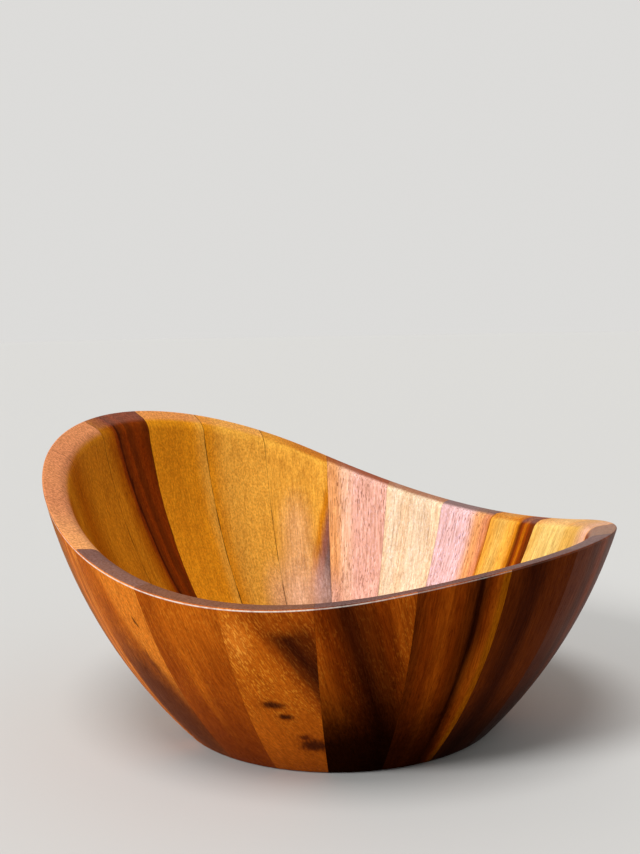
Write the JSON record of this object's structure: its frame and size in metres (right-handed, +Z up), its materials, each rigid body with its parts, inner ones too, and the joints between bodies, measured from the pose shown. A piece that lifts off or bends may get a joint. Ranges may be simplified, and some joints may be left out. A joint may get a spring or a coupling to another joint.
{
  "type": "wooden salad bowl",
  "caption": "Wooden salad bowl of edge-glued staves turned to a bowed wall, with a wave-cut rim that rises to a tall end and a flat base of glued boards.",
  "frame": {"origin": "where the turning axis meets the table, on the underside of the middle base board", "axes": "+Z up along the turning axis, +X towards the tall end of the rim, -X towards the low end"},
  "size_m": [0.2904, 0.2724, 0.1536],
  "materials": {
    "wood_cream": "satin oil",
    "wood_rose": "satin oil",
    "wood_honey": "satin oil",
    "wood_amber": "satin oil",
    "wood_rust": "satin oil",
    "wood_chestnut": "satin oil",
    "wood_walnut": "satin oil"
  },
  "bodies": {
    "root": {"stave_01": "wood_amber", "stave_02": "wood_honey", "stave_03": "wood_amber", "stave_04": "wood_amber", "stave_05": "wood_rust", "stave_06": "wood_amber", "stave_07": "wood_walnut", "stave_08": "wood_rust", "stave_09": "wood_walnut", "stave_10": "wood_chestnut", "stave_11": "wood_rust", "stave_12": "wood_amber", "stave_13": "wood_honey", "stave_14": "wood_honey", "stave_15": "wood_rose", "stave_16": "wood_cream", "stave_17": "wood_rose", "stave_18": "wood_honey", "stave_19": "wood_honey", "stave_20": "wood_amber", "stave_21": "wood_chestnut", "base_board_middle": "wood_amber", "base_board_left": "wood_honey", "base_board_right": "wood_rust"}
  },
  "joints": []
}
